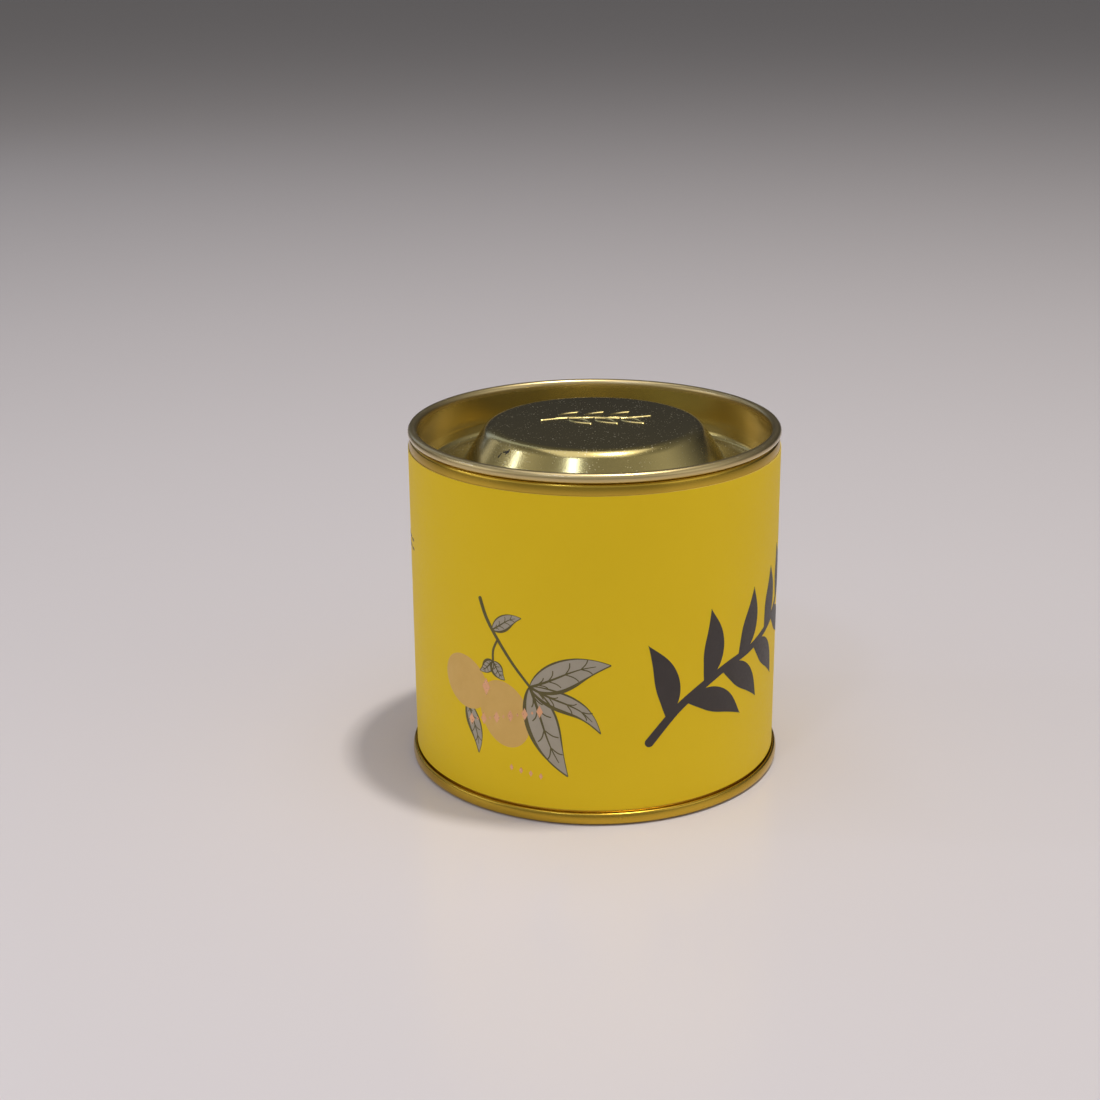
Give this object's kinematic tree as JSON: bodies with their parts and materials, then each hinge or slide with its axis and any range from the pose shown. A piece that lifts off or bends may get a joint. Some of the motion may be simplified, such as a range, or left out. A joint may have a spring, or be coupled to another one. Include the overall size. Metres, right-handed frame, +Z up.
{
  "type": "candle tin",
  "caption": "Round gold tinplate candle tin with a paper wrap, a push-in plug lid with a raised knob, a seamed base, wax and a wick.",
  "frame": {"origin": "centre of the base, on the surface the tin stands on", "axes": "+Z up along the tin's axis, -Y towards the printed front, +X to the right of it, and the label's lap and the side seam at +Y"},
  "size_m": [0.0816, 0.0816, 0.0754],
  "materials": {
    "gold_lacquer": "gold-lacquered tinplate, semi-gloss",
    "wrap_paper": "yellow satin-coated paper",
    "sticker_paper": "plain matte paper",
    "wax": "cream candle wax, satin",
    "cotton": "waxed braided cotton",
    "tinned_steel": "tinned steel",
    "adhesive_foam": "white foam"
  },
  "bodies": {
    "tin": {"tin_body": "gold_lacquer", "base_end": "gold_lacquer", "label": "wrap_paper", "base_sticker": "sticker_paper", "wax_fill": "wax", "wick": "cotton", "wick_tab": "tinned_steel", "wick_adhesive_dot": "adhesive_foam"},
    "lid": {"lid": "gold_lacquer"}
  },
  "joints": [
    {"name": "lid_lift", "type": "slide", "parent": "tin", "child": "lid", "axis": [0, 0, 1], "range_m": [0, 0.06]}
  ]
}
